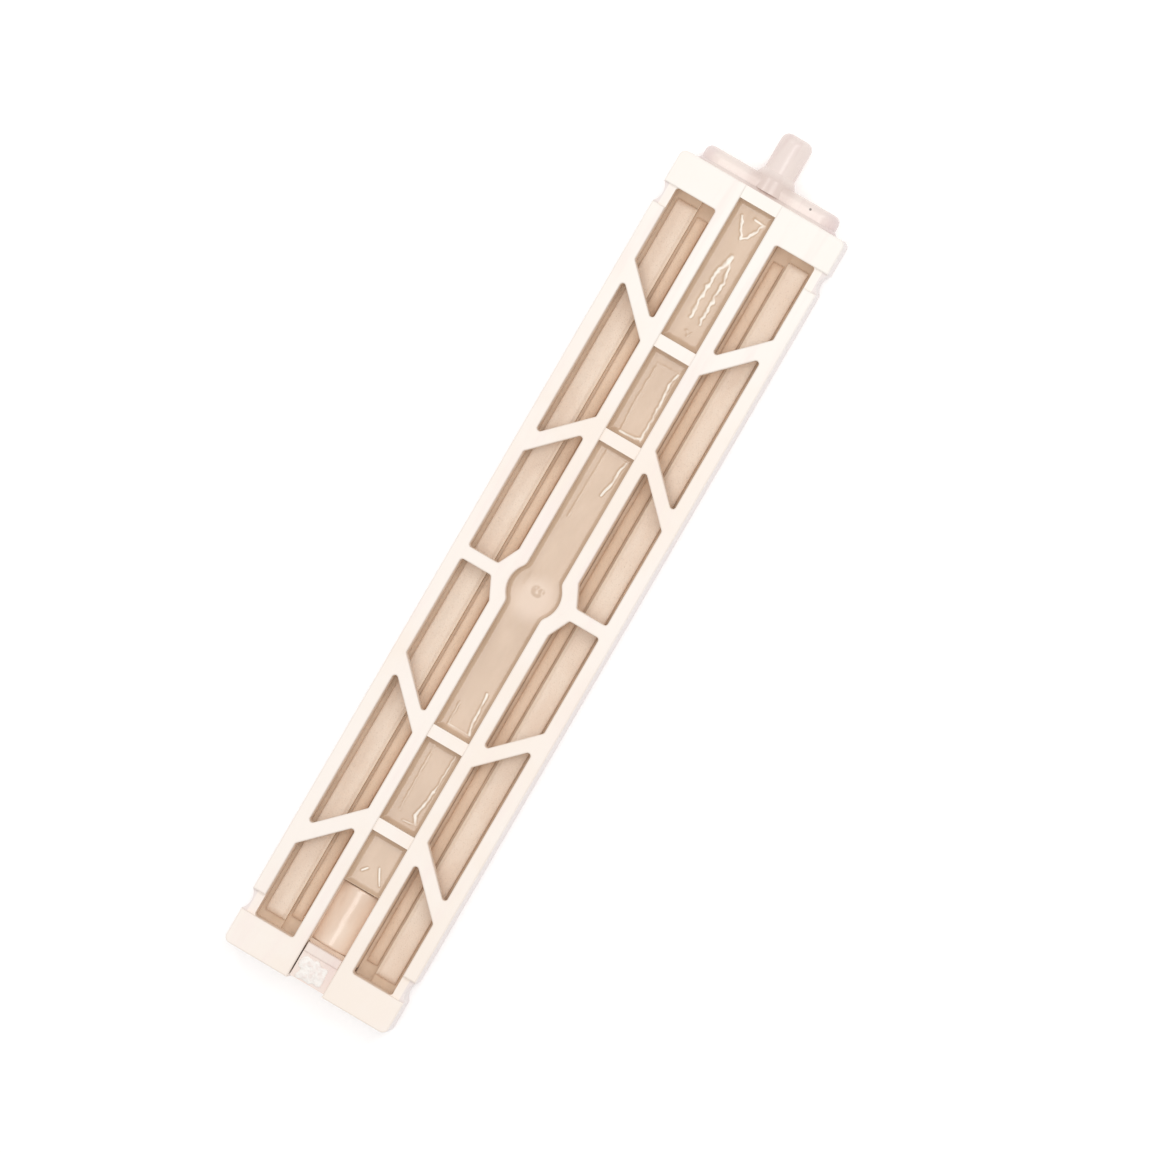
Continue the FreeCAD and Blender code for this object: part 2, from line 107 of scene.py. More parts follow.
# a material that makes its own nodes
class Finish:
    def __init__(self, name):
        self.material = bpy.data.materials.new(name)
        self.material.use_nodes = True
        self.tree = self.material.node_tree
        self.tree.nodes.clear()
        self.spot = self.make("ShaderNodeTexCoord", output="Object")

    # any node: its type, settings set first, then socket values or links
    def make(self, kind, settings=None, sockets=None, output=0):
        made = self.tree.nodes.new(kind)
        for name, value in (settings or {}).items():
            setattr(made, name, value)
        for name, value in (sockets or {}).items():
            feed(self.tree, made.inputs[name], value)
        if len(made.outputs) > 0:
            return Wire(self.tree, made.outputs[output])

    def cloud(self, perMm, detail=3.0, roughness=0.5, stretch=(1, 1, 1), shift=(0, 0, 0)):
        scale = tuple(1000 * perMm * k for k in stretch)
        placed = self.make("ShaderNodeMapping", None,
                           {"Vector": self.spot, "Scale": scale, "Location": shift})
        return self.make("ShaderNodeTexNoise", {"noise_dimensions": "3D"},
                         {"Vector": placed, "Scale": 1.0, "Detail": detail, "Roughness": roughness})

    def grains(self, perMm):
        placed = self.make("ShaderNodeMapping", None, {"Vector": self.spot, "Scale": (1000 * perMm,) * 3})
        return self.make("ShaderNodeTexVoronoi", {"feature": "F1"}, {"Vector": placed, "Scale": 1.0})

    def step(self, value, low, high):
        return self.make("ShaderNodeMapRange", {"interpolation_type": "SMOOTHSTEP"},
                         {"Value": value, "From Min": low, "From Max": high, "To Min": 0.0, "To Max": 1.0})

    # place along X, Y or Z in mm
    def axis(self, name):
        return self.make("ShaderNodeSeparateXYZ", None, {"Vector": self.spot}, name) * 1000.0

    # distance in mm from an upright line through x, y
    def away(self, x, y):
        dx, dy = self.axis("X") - x, self.axis("Y") - y
        return (dx * dx + dy * dy) ** 0.5

    # the mixing node has its share at socket 0, and its colours at sockets 6 and 7 and output 2
    def tint(self, share, first, second):
        return self.make("ShaderNodeMix", {"data_type": "RGBA"}, {0: share, 6: first, 7: second}, 2)

    def bump(self, height, distanceMm, strength=1.0, under=None):
        sockets = {"Height": height, "Distance": distanceMm * mm, "Strength": strength}
        if under is not None:
            sockets["Normal"] = under
        return self.make("ShaderNodeBump", None, sockets)

    def shade(self, **sockets):
        names = {name.replace("_", " "): value for name, value in sockets.items()}
        shader = self.make("ShaderNodeBsdfPrincipled", None, names)
        self.make("ShaderNodeOutputMaterial", None, {"Surface": shader})
        return self.material


def linear(red, green, blue):
    # colour picker numbers (0 to 255) to scene colour
    shares = [number / 255 for number in (red, green, blue)]
    return tuple(((share + 0.055) / 1.055) ** 2.4 for share in shares)


# satin white moulding: lattice, shell, inlet and end block
# a pair in mm is where a tint starts and where it is full
whiteMoulding = {
    "bright": linear(250, 241, 233), "cream": linear(249, 237, 226), "blush": linear(248, 232, 226),
    "blushShare": 0.5, "roughness": 0.36, "coat": 0.12, "coatRoughness": 0.2,
    "peelMm": 0.02, "grainMm": 0.008,
    "spigotEndLight": linear(252, 248, 242), "spigotEndLightShare": 0.7, "spigotEndLightMm": (25, 58),    # painted light: whiter towards the spigot end
    # painted shade: greyer outer side walls below the face
    "side": linear(233, 223, 221), "sideShadeShare": 0.8, "sideShadeMm": (12.9, 13.05), "sideShadeTopMm": (8.85, 8.6),
    "wall": None, "wallShare": 0.8,    # painted shade and warm reflected light on the inner walls
    "wallAcrossMm": (13.3, 12.3), "wallAlongMm": (66.3, 65.5),
    "wallTopMm": (8.6, 7.0), "wallFootMm": (1.1, 1.5),
    "marks": None,
}

# painted shade on the flange: darker rounded ends and a darker patch beside the gusset; and one dark pit in
# the moulding
inletShadeAndPit = {
    "endShade": linear(224, 203, 204), "endShadeShare": 0.6, "endShadeMm": (8.0, 11.4),
    # painted shade beside the gusset
    "foot": linear(218, 198, 190), "footShare": 0.6, "gussetShadeAt": (0, 68.6), "footMm": (4.6, 2.6),
    "gussetShadeAlongMm": (71.0, 69.4),
    "pit": linear(96, 88, 84), "pitShare": 0.8, "pitAt": (6.7, 68.7), "pitMm": (0.26, 0.12),
    "pitAboveMm": (5.6, 6.0),
}


def mouldedWhite(name, settings):
    f = Finish(name)
    s = settings
    broad = f.cloud(0.05, 4.0, 0.6)
    flow = f.cloud(0.35, 3.0, 0.6, (1.0, 0.12, 1.0), (3, 1, 7))
    colour = f.tint(f.step(broad, 0.42, 0.66), s["bright"], s["cream"])
    # painted light: the white mouldings turn whiter towards the spigot end
    colour = f.tint(f.step(f.axis("Y"), *s["spigotEndLightMm"]) * s["spigotEndLightShare"], colour, s["spigotEndLight"])
    colour = f.tint(f.step(flow, 0.5, 0.75) * s["blushShare"], colour, s["blush"])
    # painted shade and warm reflected light on the walls inside the body, below the face
    if s["wall"]:
        across = f.step(abs(f.axis("X")), *s["wallAcrossMm"])
        along = f.step(abs(f.axis("Y")), *s["wallAlongMm"])
        deep = f.step(f.axis("Z"), *s["wallTopMm"])
        inside = f.step(f.axis("Z"), *s["wallFootMm"])
        colour = f.tint(across * along * deep * inside * s["wallShare"], colour, s["wall"])
    # painted shade on the outer side walls below the face
    side = f.step(abs(f.axis("X")), *s["sideShadeMm"])
    below = f.step(f.axis("Z"), *s["sideShadeTopMm"])
    colour = f.tint(side * below * s["sideShadeShare"], colour, s["side"])
    if s["marks"]:
        m = s["marks"]
        # painted shade at the flange's rounded ends and beside the gusset
        endShade = f.step(abs(f.axis("X")), *m["endShadeMm"])
        foot = f.step(f.away(*m["gussetShadeAt"]), *m["footMm"]) * f.step(f.axis("Y"), *m["gussetShadeAlongMm"])
        colour = f.tint(endShade * m["endShadeShare"], colour, m["endShade"])
        colour = f.tint(foot * m["footShare"], colour, m["foot"])
        pit = f.step(f.away(*m["pitAt"]), *m["pitMm"]) * f.step(f.axis("Z"), *m["pitAboveMm"])
        colour = f.tint(pit * m["pitShare"], colour, m["pit"])
    peel = f.cloud(0.9, 2.0, 0.5)
    grain = f.cloud(6.0, 2.0, 0.6)
    soft = f.bump(peel, s["peelMm"])
    fine = f.bump(grain, s["grainMm"], 1.0, soft)
    scuff = f.step(f.cloud(1.6, 5.0, 0.7, (1, 0.3, 1), (5, 2, 1)), 0.55, 0.7)
    return f.shade(Base_Color=colour, Roughness=s["roughness"] + 0.1 * broad + 0.12 * scuff,
                   Coat_Weight=s["coat"], Coat_Roughness=s["coatRoughness"], Normal=fine, IOR=1.47)


# glossy potting resin
pottedResin = {
    "light": linear(212, 185, 159), "mid": linear(205, 177, 150), "deep": linear(194, 165, 138),
    "deepShare": 0.55, "speckShare": 0.25,
    "hub": linear(228, 205, 185), "hubShare": 0.7, "hubAt": (0.2, -1.0), "hubMm": (4.6, 1.6),
    "paintedHighlight": linear(255, 250, 240), "paintedHighlightShare": 0.9,    # painted highlight on the curled-up ridges
    "roughness": 0.16, "rippleMm": 0.008, "wrinkleMm": 0.002, "coat": 0.35, "coatRoughness": 0.07,
}


def glossyResin(name, settings):
    f = Finish(name)
    s = settings
    streak = f.cloud(0.35, 3.0, 0.5, (1.0, 0.45, 1.0))
    patch = f.cloud(0.13, 3.0, 0.5, (1, 0.7, 1), (2, 9, 4))
    colour = f.tint(f.step(streak, 0.35, 0.68), s["mid"], s["light"])
    colour = f.tint(f.step(patch, 0.5, 0.72) * s["deepShare"], colour, s["deep"])
    if s["hub"]:
        colour = f.tint(f.step(f.away(*s["hubAt"]), *s["hubMm"]) * s["hubShare"], colour, s["hub"])
    speck = f.step(f.grains(1.3), 0.10, 0.04)
    colour = f.tint(speck * s["speckShare"], colour, s["deep"])
    # painted highlight along the ridge lines
    ridgeHighlight = f.make("ShaderNodeAttribute", {"attribute_name": "ridgeHighlight"}, None, "Fac")
    colour = f.tint(f.step(ridgeHighlight, 0.15, 0.75) * s["paintedHighlightShare"], colour, s["paintedHighlight"])
    ripple = f.cloud(0.45, 2.0, 0.45, (1.0, 0.4, 1.0), (1, 1, 5))
    wrinkle = f.cloud(1.6, 2.0, 0.5, (1.0, 0.7, 1.0))
    soft = f.bump(ripple, s["rippleMm"])
    fine = f.bump(wrinkle, s["wrinkleMm"], 1.0, soft)
    return f.shade(Base_Color=colour, Roughness=s["roughness"] + 0.12 * streak, Coat_Weight=s["coat"],
                   Coat_Roughness=s["coatRoughness"], Normal=fine, IOR=1.5)


# porous strips, with an optional painted light on the inner shoulder
porousStone = {
    "light": linear(246, 230, 214), "mid": linear(240, 220, 202), "dark": linear(222, 198, 176),
    "speckleShare": 0.4, "holeShare": 0.45,
    "litShoulder": linear(255, 243, 226), "litShoulderShare": 0.0, "litShoulderMm": (8.25, 7.85),
    "roughness": 0.88, "poreMm": 0.07,
}


def porous(name, settings):
    f = Finish(name)
    s = settings
    drift = f.cloud(0.22, 4.0, 0.6, (1, 0.35, 1))
    speckle = f.cloud(4.0, 4.0, 0.75)
    pores = f.grains(3.2)
    colour = f.tint(f.step(drift, 0.36, 0.66), s["mid"], s["light"])
    colour = f.tint(f.step(speckle, 0.52, 0.7) * s["speckleShare"], colour, s["dark"])
    # painted light: a paler inner shoulder
    litShoulder = f.step(abs(f.axis("X")), *s["litShoulderMm"])
    colour = f.tint(litShoulder * s["litShoulderShare"], colour, s["litShoulder"])
    holes = f.step(pores, 0.16, 0.05)
    colour = f.tint(holes * s["holeShare"], colour, s["dark"])
    gritty = f.bump(speckle, s["poreMm"] * 0.6)
    pitted = f.bump(1 - holes, s["poreMm"], 0.8, gritty)
    return f.shade(Base_Color=colour, Roughness=s["roughness"] + 0.06 * speckle, Normal=pitted)


# matt beige parts deep in the body; the faint glow lifts them out of the dark
mattFinish = {"roughness": 0.62, "glow": 0.07, "grainMm": 0.02}


def mattBeige(name, light, dark):
    f = Finish(name)
    s = mattFinish
    broad = f.cloud(0.15, 4.0, 0.6)
    fine = f.cloud(3.0, 3.0, 0.6)
    colour = f.tint(f.step(broad, 0.36, 0.66), light, dark)
    colour = f.tint(f.step(fine, 0.55, 0.72) * 0.3, colour, dark)
    return f.shade(Base_Color=colour, Roughness=s["roughness"] + 0.1 * fine,
                   Normal=f.bump(fine, s["grainMm"]), Emission_Color=dark, Emission_Strength=s["glow"])


curedGlue = {
    "bright": linear(255, 251, 246), "dull": linear(246, 234, 228), "roughness": 0.45,
    "lumpMm": 0.12, "grainMm": 0.03,
}


def glueWhite(name):
    f = Finish(name)
    s = curedGlue
    lump = f.cloud(1.1, 5.0, 0.7)
    grain = f.cloud(5.0, 3.0, 0.7)
    colour = f.tint(f.step(lump, 0.38, 0.66), s["bright"], s["dull"])
    soft = f.bump(lump, s["lumpMm"])
    return f.shade(Base_Color=colour, Roughness=s["roughness"] + 0.2 * grain,
                   Normal=f.bump(grain, s["grainMm"], 1.0, soft))


finishes = {
    # the lattice and the shell get painted shade and warm reflected light on their inner walls
    "lattice": mouldedWhite("latticeWhite", {**whiteMoulding, "wall": linear(238, 220, 202)}),
    # the shell is a greyer, pinker copy of the white moulding: painted shade of its outer walls
    "shell": mouldedWhite("shellShadedWhite", {
        **whiteMoulding, "bright": linear(246, 236, 234), "cream": linear(244, 232, 226),
        "blush": linear(238, 222, 222), "blushShare": 0.8, "wall": linear(230, 208, 186)}),
    # the inlet is a darker, pinker copy of the white moulding: painted shade of the lower inlet
    "inlet": mouldedWhite("inletShadedWhite", {
        **whiteMoulding, "bright": linear(240, 226, 220), "cream": linear(245, 233, 224),
        "blush": linear(226, 205, 202), "blushShare": 0.9, "spigotEndLightShare": 0.0, "roughness": 0.2,
        "marks": inletShadeAndPit}),
    "block": mouldedWhite("blockWhite", {
        **whiteMoulding, "bright": linear(243, 231, 224), "cream": linear(242, 227, 218),
        "blush": linear(236, 214, 208), "blushShare": 0.9, "roughness": 0.4}),
    "resin": glossyResin("pottedResin", pottedResin),
    "plug": glossyResin("plugBeige", {
        **pottedResin, "light": linear(244, 224, 206), "mid": linear(236, 212, 192),
        "deep": linear(226, 202, 182), "hub": None}),
    "duct": mattBeige("ductBeige", linear(236, 216, 198), linear(226, 204, 184)),
    "bed": mattBeige("bedTan", linear(226, 204, 182), linear(214, 190, 166)),
    "stoneLight": porous("stoneCream", {**porousStone, "litShoulderShare": 0.7}),
    # the inner strips get a darker copy of the porous finish: painted shade of the lower strips
    "stoneShaded": porous("stoneTanShaded", {
        **porousStone, "light": linear(238, 214, 192), "mid": linear(230, 204, 180)}),
    "glue": glueWhite("roughGlue"),
}
print("finishes made")


def dress(thing, finish):
    thing.data.materials.clear()
    thing.data.materials.append(finishes[finish])


for nodeName, finish in (
    ("lattice_cover", "lattice"), ("base_tray", "shell"), ("inlet_manifold", "inlet"),
    ("flange_bond", "inlet"), ("air_duct", "duct"), ("end_block", "block"),
    ("stone_bed_left", "bed"), ("stone_bed_right", "bed"),
):
    dress(nodes[nodeName], finish)
print("carried-over nodes dressed")


def newPiece(name, verts, faces, finish, replaced):
    mesh = bpy.data.meshes.new(name)
    mesh.from_pydata([tuple(v) for v in verts], [], faces)
    shell = bmesh.new()
    shell.from_mesh(mesh)
    bmesh.ops.recalc_face_normals(shell, faces=shell.faces)
    shell.to_mesh(mesh)
    shell.free()
    for face in mesh.polygons:
        face.use_smooth = True
    thing = bpy.data.objects.new(name, mesh)
    bpy.context.scene.collection.objects.link(thing)
    dress(thing, finish)
    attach(thing, "root")
    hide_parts(replaced)
    return thing


def closedGrid(rows, columns, topPoint, floorZ):
    # closed slab: topPoint(row, column) gives the upper skin, and a flat floor lies below its outline
    verts, faces = [], []
    for i in range(rows):
        for j in range(columns):
            verts.append(topPoint(i / (rows - 1), j / (columns - 1)))
    skin = len(verts)
    for x, y, z in verts[:skin]:
        verts.append((x, y, floorZ))
    for i in range(rows - 1):
        for j in range(columns - 1):
            a = i * columns + j
            faces.append((a, a + 1, a + columns + 1, a + columns))
            b = a + skin
            faces.append((b, b + columns, b + columns + 1, b + 1))
    edge = list(range(columns))
    edge += [i * columns + columns - 1 for i in range(1, rows)]
    edge += [(rows - 1) * columns + j for j in range(columns - 2, -1, -1)]
    edge += [i * columns for i in range(rows - 2, 0, -1)]
    for k, a in enumerate(edge):
        b = edge[(k + 1) % len(edge)]
        faces.append((a, a + skin, b + skin, b))
    return verts, faces


def smoothStep(value, low, high):
    t = min(1.0, max(0.0, (value - low) / (high - low)))
    return t * t * (3 - 2 * t)


def waver(x, y, z, scale, seed=0.0):
    return noise.noise(Vector((x * scale + seed, y * scale - seed, z * scale + 2 * seed)))


# potted cells of the centre channel
cellShape = {
    "dishMm": 0.35,        # how far the middle lies below the rim
    "settleMm": 0.05,      # extra drop as the resin shrinks
    "meniscusMm": 0.75,    # width of the curved-up edge
    "endMeniscusMm": 0.9,
    "curlPower": 2.2,
    "stepMm": 0.13,
    "columns": 61,
    "edgeFineness": 1.35,  # finer rows at the edges
    "hubRadiusMm": 4.15,
    "hubBlendMm": 1.5,
    "rippleMm": 0.012,
    "ridgeRiseMm": 0.10,
}

# gate mark in the round cell: a nub and a small pit in a shallow mound; pairs are full and end radii in mm
gateMark = {
    "nubAt": (0.25, 0.15), "nubRiseMm": 0.17, "nubMm": (0.25, 0.95),
    "pitAt": (0.75, 0.45), "pitSinkMm": 0.10, "pitMm": (0.1, 0.6),
    "moundRiseMm": 0.07, "moundMm": (1.2, 3.8),
}

# how ragged and how sharp the ridge lines are
ridgeCut = {
    "strength": 0.86, "sharpShare": 0.1, "softShare": 2.2,
    "jagMm": 0.12, "cellJagMm": {1: 0.3, 5: 0.0},
}

# lines where the resin curled up as it set, raised and given a painted highlight, by cell: strength, half
# width in mm, then (x, y) points in mm
ridgeLines = {
    1: [
        (1.0, 0.15, [(-1.48, 62.9), (-0.6, 61.1), (0.18, 59.8), (1.2, 61.2), (2.0, 63.2), (0.3, 63.3)]),
        (1.0, 0.28, [(0.22, 56.9), (0.05, 55.6)]),
        (1.0, 0.22, [(0.1, 55.8), (-0.4, 54.4), (-0.6, 52.5), (-0.65, 49.5), (-0.6, 46.3)]),
        (1.0, 0.20, [(0.22, 56.6), (0.75, 54.9), (1.05, 53.2), (1.1, 49.5), (1.05, 46.0)]),
        (0.5, 0.14, [(0.85, 44.4), (0.35, 43.6), (-0.1, 44.3)]),
    ],
    2: [
        (1.0, 0.17, [(2.1, 38.0), (1.75, 36.2), (2.05, 33.5), (2.1, 29.0), (2.15, 27.0)]),
        (0.9, 0.16, [(2.15, 27.2), (1.2, 26.8), (-0.2, 26.7), (-1.1, 26.7)]),
        (0.4, 0.16, [(-1.1, 26.8), (-1.35, 30.5), (-1.3, 37.5)]),
        (0.35, 0.16, [(2.0, 38.1), (-1.3, 38.0)]),
    ],
    3: [
        (1.0, 0.17, [(2.1, 23.0), (1.75, 21.2), (1.8, 19.6), (1.2, 17.1)]),
        (0.4, 0.15, [(2.1, 23.0), (-1.3, 23.2)]),
        (0.35, 0.15, [(-1.3, 23.0), (-1.4, 18.0), (-1.4, 12.0)]),
        (1.0, 0.17, [(1.5, -16.5), (1.7, -19.5), (1.75, -21.5), (2.2, -23.0)]),
        (0.5, 0.15, [(2.2, -23.1), (-1.4, -23.1)]),
        (0.4, 0.15, [(-1.4, -23.0), (-1.45, -19.5)]),
    ],
    4: [
        (0.7, 0.15, [(2.1, -26.8), (2.0, -30.0), (1.9, -32.9)]),
        (1.0, 0.20, [(1.9, -32.9), (1.65, -35.2), (1.25, -37.2), (2.0, -38.4)]),
        (0.4, 0.14, [(2.1, -26.7), (-1.1, -26.7)]),
        (0.4, 0.15, [(-1.4, -27.0), (-1.3, -33.0), (-1.15, -37.6)]),
        (0.5, 0.14, [(2.0, -38.5), (0.0, -38.7)]),
    ],
    5: [
        (0.9, 0.14, [(-0.9, -47.4), (-1.5, -48.1)]),
        (0.9, 0.14, [(0.66, -46.6), (1.2, -47.6), (1.9, -48.8)]),
    ],
}


def channelHalf(y, half, hub, blend):
    # half width of the channel at y: straight sides that open round the hub through small blends
    centreX = half + blend
    centreY = math.sqrt((hub + blend) ** 2 - centreX ** 2)
    touchY = centreY * hub / (hub + blend)
    y = abs(y)
    if y < touchY:
        return math.sqrt(hub * hub - y * y)
    if y < centreY:
        return centreX - math.sqrt(max(0.0, blend * blend - (centreY - y) ** 2))
    return half


def fromLine(x, y, points):
    # distance from a broken line
    nearest = 99.0
    for (ax, ay), (bx, by) in zip(points, points[1:]):
        dx, dy = bx - ax, by - ay
        t = min(1.0, max(0.0, ((x - ax) * dx + (y - ay) * dy) / (dx * dx + dy * dy)))
        nearest = min(nearest, math.hypot(x - ax - t * dx, y - ay - t * dy))
    return nearest


def ridgeAt(index, x, y):
    s = ridgeCut
    jag = s["cellJagMm"].get(index, s["jagMm"]) * waver(x, y, index, 1.3, 2.3)
    broken = 0.8 + 0.5 * waver(x, y, index + 4, 0.9, 5.1)
    most = 0.0
    for strength, width, points in ridgeLines[index]:
        away = fromLine(x + jag, y, points)
        fade = smoothStep(away, s["sharpShare"] * width, s["softShare"] * width)
        most = max(most, s["strength"] * strength * broken * (1 - fade))
    return min(1.0, most)


def cellRelief(index, x, y):
    # sinks, ripples and ridges left as the resin cured, in mm
    s, g = cellShape, gateMark
    relief = s["rippleMm"] * waver(x, y * 0.25, index, 0.7, 3.1 * index)
    relief += 0.4 * s["rippleMm"] * waver(x, y * 0.4, index, 2.1, 1.7 * index)
    relief += s["ridgeRiseMm"] * ridgeAt(index, x, y)
    if index == 3:
        nub = math.hypot(x - g["nubAt"][0], y - g["nubAt"][1])
        pit = math.hypot(x - g["pitAt"][0], y - g["pitAt"][1])
        relief += g["nubRiseMm"] * (1 - smoothStep(nub, *g["nubMm"]))
        relief -= g["pitSinkMm"] * (1 - smoothStep(pit, *g["pitMm"]))
        relief += g["moundRiseMm"] * (1 - smoothStep(math.hypot(x, y), *g["moundMm"]))
    return relief


def potCell(index):
    nodeName = "channel_seal_%d" % index
    lowest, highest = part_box(nodeName)
    s = cellShape
    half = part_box("channel_seal_1")[1].x / mm
    low, high = lowest.y / mm, highest.y / mm
    rim, floorZ = highest.z / mm, lowest.z / mm
    rows = int((high - low) / s["stepMm"])
    columns = s["columns"]

    def top(u, v):
        y = low + (high - low) * u
        width = channelHalf(y, half, s["hubRadiusMm"], s["hubBlendMm"]) if index == 3 else half
        side = 2 * v - 1
        side = math.copysign(1 - (1 - abs(side)) ** s["edgeFineness"], side)
        x = side * width
        fromSide = width - abs(x)
        fromEnd = min(y - low, high - y)
        curl = (1 - min(1.0, fromSide / s["meniscusMm"])) ** s["curlPower"]
        curlEnd = (1 - min(1.0, fromEnd / s["endMeniscusMm"])) ** s["curlPower"]
        lift = s["dishMm"] * max(curl, curlEnd)
        calm = 1 - max(curl, curlEnd)
        z = rim - s["dishMm"] - s["settleMm"] + lift + calm * cellRelief(index, x, y)
        return (x * mm, y * mm, min(z, rim) * mm)

    verts, faces = closedGrid(rows, columns, top, floorZ * mm)
    piece = newPiece("pottedCell%d" % index, verts, faces, "resin", nodeName)
    # the ridge strength is kept on the skin for the painted highlight
    marks = piece.data.attributes.new("ridgeHighlight", "FLOAT", "POINT")
    for place, (x, y, z) in enumerate(verts[:rows * columns]):
        marks.data[place].value = ridgeAt(index, x / mm, y / mm)


for index in range(1, 6):
    potCell(index)
print("potted cells made")


# porous strips
stripShape = {
    "stepMm": 0.24, "gritMm": 0.045, "waveMm": 0.05,
    "settleMm": 0.03,      # keeps the grit below the strip's top
    "footShare": 0.3,      # below this share of the height the strip is smooth
    "endDrop": 0.55,       # how far the ends slope down, as a share of the height
    "outerEndMm": 0.9, "innerEndMm": 1.6,
}


def layStrip(nodeName, pieceName, profile, finish, seed, endSlope):
    # profile: (share of width, share of height) points round the section, from the inner foot over the top
    lowest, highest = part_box(nodeName)
    s = stripShape
    left = lowest.x < 0
    inner, outer = (highest.x, lowest.x) if left else (lowest.x, highest.x)
    low, high = lowest.y / mm, highest.y / mm
    rows = int((high - low) / s["stepMm"])
    verts, faces = [], []
    count = len(profile)
    for i in range(rows + 1):
        y = low + (high - low) * (i / rows)
        fromEnd = min(y - low, high - y)
        drop = (1 - min(1.0, fromEnd / endSlope)) ** 2 * s["endDrop"]
        for across, up in profile:
            exposed = 1.0 if up > s["footShare"] else 0.0
            x = (inner + (outer - inner) * across) / mm
            z = (lowest.z + (highest.z - lowest.z) * up * (1 - drop * exposed)) / mm
            grit = s["gritMm"] * waver(x, y, z, 2.6, seed) + s["waveMm"] * waver(x, y * 0.3, z, 0.5, seed + 9)
            z = min(z + exposed * (grit - s["settleMm"]), highest.z / mm)
            x = x + exposed * 0.5 * s["gritMm"] * waver(y, z, x, 1.9, seed + 4)
            x = min(max(x, lowest.x / mm), highest.x / mm)
            verts.append((x * mm, y * mm, z * mm))
    for i in range(rows):
        for k in range(count):
            a = i * count + k
            b = i * count + (k + 1) % count
            faces.append((a, b, b + count, a + count))
    faces.append(tuple(range(count)))
    faces.append(tuple(range(rows * count, (rows + 1) * count)))
    newPiece(pieceName, verts, faces, finish, nodeName)


def bevelProfile():
    # chamfer at the inner shoulder, small round at the outer one
    return [(0.0, 0.0), (0.0, 0.30), (0.0, 0.52), (0.03, 0.60), (0.10, 0.80), (0.15, 0.94), (0.20, 0.99),
            (0.30, 1.0), (0.40, 1.0), (0.50, 1.0), (0.60, 1.0), (0.70, 1.0), (0.80, 0.995), (0.88, 0.98),
            (0.95, 0.93), (0.99, 0.82), (1.0, 0.68), (1.0, 0.35), (1.0, 0.0)]


def roundProfile():
    points = [(0.0, 0.0), (0.0, 0.35)]
    for k in range(13):
        turn = math.pi * (1 - k / 12)
        points.append((0.5 + 0.5 * math.cos(turn), 0.45 + 0.55 * math.sin(turn) ** 0.8))
    return points + [(1.0, 0.35), (1.0, 0.0)]


for seed, side in ((2.0, "left"), (5.5, "right")):
    layStrip("outer_stone_" + side, "outerStrip" + side.title(), bevelProfile(), "stoneLight",
             seed, stripShape["outerEndMm"])
    layStrip("inner_stone_" + side, "innerStrip" + side.title(), roundProfile(), "stoneShaded",
             seed + 20, stripShape["innerEndMm"])
print("porous strips laid")


# half-round plug in the last cell
plugShape = {"rows": 75, "columns": 41, "endRoundMm": 0.35, "sinkMm": 0.02, "archMm": 4.3, "footMm": 0.05}


def makePlug():
    lowest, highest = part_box("duct_plug")
    low, high = lowest.y / mm, highest.y / mm
    half = (highest.x - lowest.x) / 2 / mm
    top = highest.z / mm
    s = plugShape
    arch = s["archMm"]

    def skin(u, v):
        y = low + (high - low) * u
        fromEnd = min(y - low, high - y)
        inset = s["endRoundMm"] * (1 - math.sqrt(1 - (1 - min(1.0, fromEnd / s["endRoundMm"])) ** 2))
        x = half * math.sin(math.pi * (v - 0.5))
        z = top - arch + math.sqrt(arch * arch - x * x) - inset
        z += s["sinkMm"] * (waver(x, y * 0.4, 3, 0.9, 8.8) - 0.6)
        return (x * mm, y * mm, max(z, lowest.z / mm + s["footMm"]) * mm)

    verts, faces = closedGrid(s["rows"], s["columns"], skin, lowest.z)
    newPiece("ductPlug", verts, faces, "plug", "duct_plug")


makePlug()


# rough dab of glue on the end block
glueShape = {
    "rays": 72, "rings": 16, "lumpMm": 0.16,
    "spread": 0.94, "ragged": 0.34, "fineRagged": 0.16,    # outline, as shares of the half size
    "squareness": 0.55,
    "crown": 0.62, "edge": 0.10,    # height at the middle and at the rim, as shares of the thickness
    "thinnestMm": 0.02, "mergeM": 1e-7,
}


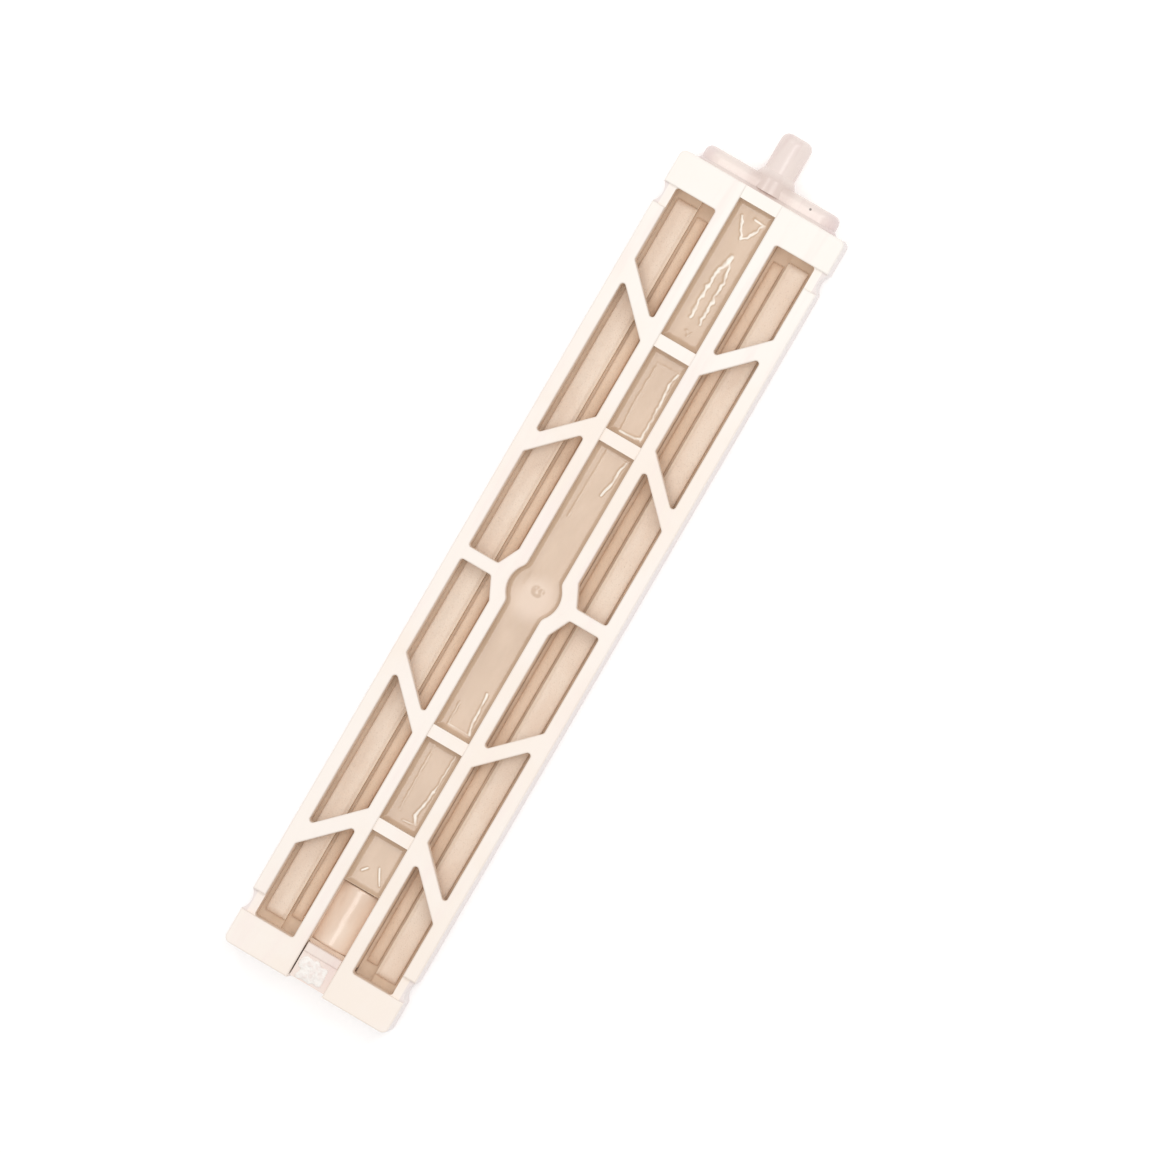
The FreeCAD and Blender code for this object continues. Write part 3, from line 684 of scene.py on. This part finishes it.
def dabGlue():
    lowest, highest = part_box("end_glue")
    middle = (lowest + highest) / 2
    halfX, halfY = (highest.x - lowest.x) / 2 / mm, (highest.y - lowest.y) / 2 / mm
    thick = (highest.z - lowest.z) / mm
    s = glueShape
    rays, rings = s["rays"], s["rings"]
    verts, faces = [], []
    for ring in range(rings + 1):
        share = ring / rings
        for ray in range(rays):
            turn = 2 * math.pi * ray / rays
            east, north = math.cos(turn), math.sin(turn)
            ragged = s["spread"] + s["ragged"] * waver(east, north, 0.3, 1.7, 6.2)
            ragged += s["fineRagged"] * waver(east, north, 1.3, 4.2, 1.2)
            reach = ragged / max(abs(east), abs(north)) ** s["squareness"]
            x = min(halfX, max(-halfX, halfX * share * reach * east))
            y = min(halfY, max(-halfY, halfY * share * reach * north))
            lump = waver(x, y, 0.2, 1.5, 4.4) + 0.5 * waver(x, y, 0.7, 4.0, 2.2)
            crown = (1 - share ** 5) * s["crown"] + s["edge"]
            z = thick * crown + s["lumpMm"] * lump * (1 - share ** 6)
            z = min(thick, max(s["thinnestMm"], z))
            verts.append((middle.x + x * mm, middle.y + y * mm, lowest.z + z * mm))
    for ring in range(rings):
        for ray in range(rays):
            a, b = ring * rays + ray, ring * rays + (ray + 1) % rays
            faces.append((a, b, b + rays, a + rays))
    rim = rings * rays
    foot = len(verts)
    for x, y, z in verts[rim:foot]:
        verts.append((x, y, lowest.z))
    for ray in range(rays):
        b = (ray + 1) % rays
        faces.append((rim + ray, rim + b, foot + b, foot + ray))
    faces.append(tuple(foot + ray for ray in range(rays)))
    dab = newPiece("glueDab", verts, faces, "glue", "end_glue")
    # the first ring is one point, so its copies are joined
    knit = bmesh.new()
    knit.from_mesh(dab.data)
    bmesh.ops.remove_doubles(knit, verts=knit.verts, dist=s["mergeM"])
    knit.to_mesh(dab.data)
    knit.free()


dabGlue()
print("plug and glue made")


# floor, lights and camera
studio = {
    "floor": (0.93, 0.93, 0.93), "floorGlow": 0.22, "floorRough": 0.9, "floorReach": 3.0, "floorDrop": 0.0001,
    "air": (1.0, 0.985, 0.97), "world": 0.64,
    "keyWatts": 1.7, "keySize": (0.2, 0.8), "keyFrom": (0.05, 0.10, 0.66),
    "sparkWatts": 0.25, "sparkSize": (0.09, 0.09), "sparkFrom": (-0.30, 0.25, 0.50),
    "exposure": 0.0,
}


# a soft box that faces the middle of the part
def softLight(name, place, size, watts):
    light = bpy.data.lights.new(name, "AREA")
    light.shape = "RECTANGLE"
    light.size, light.size_y = size
    light.energy = watts
    lamp = bpy.data.objects.new(name, light)
    lamp.location = place
    lamp.rotation_euler = (-Vector(place)).to_track_quat("-Z", "Y").to_euler()
    bpy.context.scene.collection.objects.link(lamp)


def setStudio():
    s = studio
    floorMesh = bpy.data.meshes.new("floor")
    reach = s["floorReach"]
    level = cadBox[0].z - s["floorDrop"]
    corners = [(-reach, -reach, level), (reach, -reach, level), (reach, reach, level), (-reach, reach, level)]
    floorMesh.from_pydata(corners, [], [(0, 1, 2, 3)])
    floor = bpy.data.objects.new("floor", floorMesh)
    bpy.context.scene.collection.objects.link(floor)
    f = Finish("paleFloor")
    floorMesh.materials.append(f.shade(Base_Color=s["floor"], Roughness=s["floorRough"],
                                       Emission_Color=(1, 1, 1), Emission_Strength=s["floorGlow"]))
    world = bpy.data.worlds.new("studioAir")
    world.use_nodes = True
    back = world.node_tree.nodes["Background"]
    back.inputs["Color"].default_value = (*s["air"], 1)
    back.inputs["Strength"].default_value = s["world"]
    bpy.context.scene.world = world
    softLight("keySoftbox", s["keyFrom"], s["keySize"], s["keyWatts"])
    softLight("sparkSoftbox", s["sparkFrom"], s["sparkSize"], s["sparkWatts"])
    bpy.context.scene.view_settings.view_transform = "Standard"
    bpy.context.scene.view_settings.exposure = s["exposure"]


setStudio()

lens = {
    "distanceMm": 1550.0,
    "lean": (0.08, 0.045),        # how far the line of sight leans, across and along the bar
    "turn": math.radians(30.3),   # the bar leans clockwise in the view
    "aimMm": (4.29, 5.15, 9.0),
    "frameMm": 168.65,            # width seen at the face
    "sensorMm": 36.0,
    "clip": (0.01, 20.0),
}


def setCamera():
    s = lens
    back = Vector((*s["lean"], 1.0)).normalized()
    up = Vector((-math.sin(s["turn"]), math.cos(s["turn"]), 0))
    right = up.cross(back).normalized()
    up = back.cross(right)
    camera = bpy.data.cameras.new("studioCamera")
    camera.sensor_width = s["sensorMm"]
    camera.lens = s["sensorMm"] * s["distanceMm"] / s["frameMm"]
    camera.clip_start, camera.clip_end = s["clip"]
    eye = bpy.data.objects.new("studioCamera", camera)
    turned = Matrix((right, up, back)).transposed().to_4x4()
    turned.translation = Vector(s["aimMm"]) * mm + back * s["distanceMm"] * mm
    eye.matrix_world = turned
    bpy.context.scene.collection.objects.link(eye)
    bpy.context.scene.camera = eye


setCamera()
print("studio and camera set")
